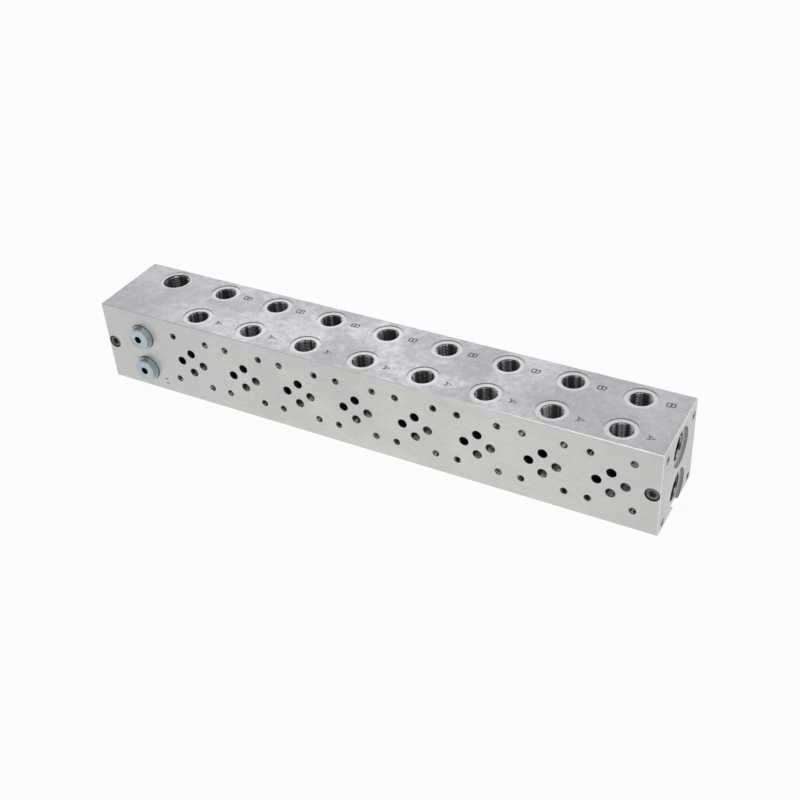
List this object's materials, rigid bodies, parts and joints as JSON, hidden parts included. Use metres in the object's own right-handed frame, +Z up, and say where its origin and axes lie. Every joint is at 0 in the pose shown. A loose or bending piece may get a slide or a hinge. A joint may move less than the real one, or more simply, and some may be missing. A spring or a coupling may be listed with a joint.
{
  "type": "hydraulic manifold block",
  "caption": "Long drilled aluminium block with valve interfaces on its front, threaded ports along its top and larger threaded ports in its ends.",
  "frame": {"origin": "centre of the block's underside, on the surface that it stands on", "axes": "+X to the right along the block as seen from the valve face, +Y from the valve face to the back, +Z up"},
  "size_m": [0.47, 0.0757, 0.07],
  "materials": {
    "block": "milled, matt",
    "plug": "zinc plated, satin",
    "seal_ring": "zinc plated",
    "seal_lip": "matt",
    "screw": "black oxide"
  },
  "bodies": {
    "root": {"manifold_block": "block", "screw_plug_upper": "plug", "seal_ring_upper": "seal_ring", "seal_lip_upper": "seal_lip", "screw_plug_lower": "plug", "seal_ring_lower": "seal_ring", "seal_lip_lower": "seal_lip", "mounting_screw_left": "screw", "mounting_screw_right": "screw"}
  },
  "joints": []
}
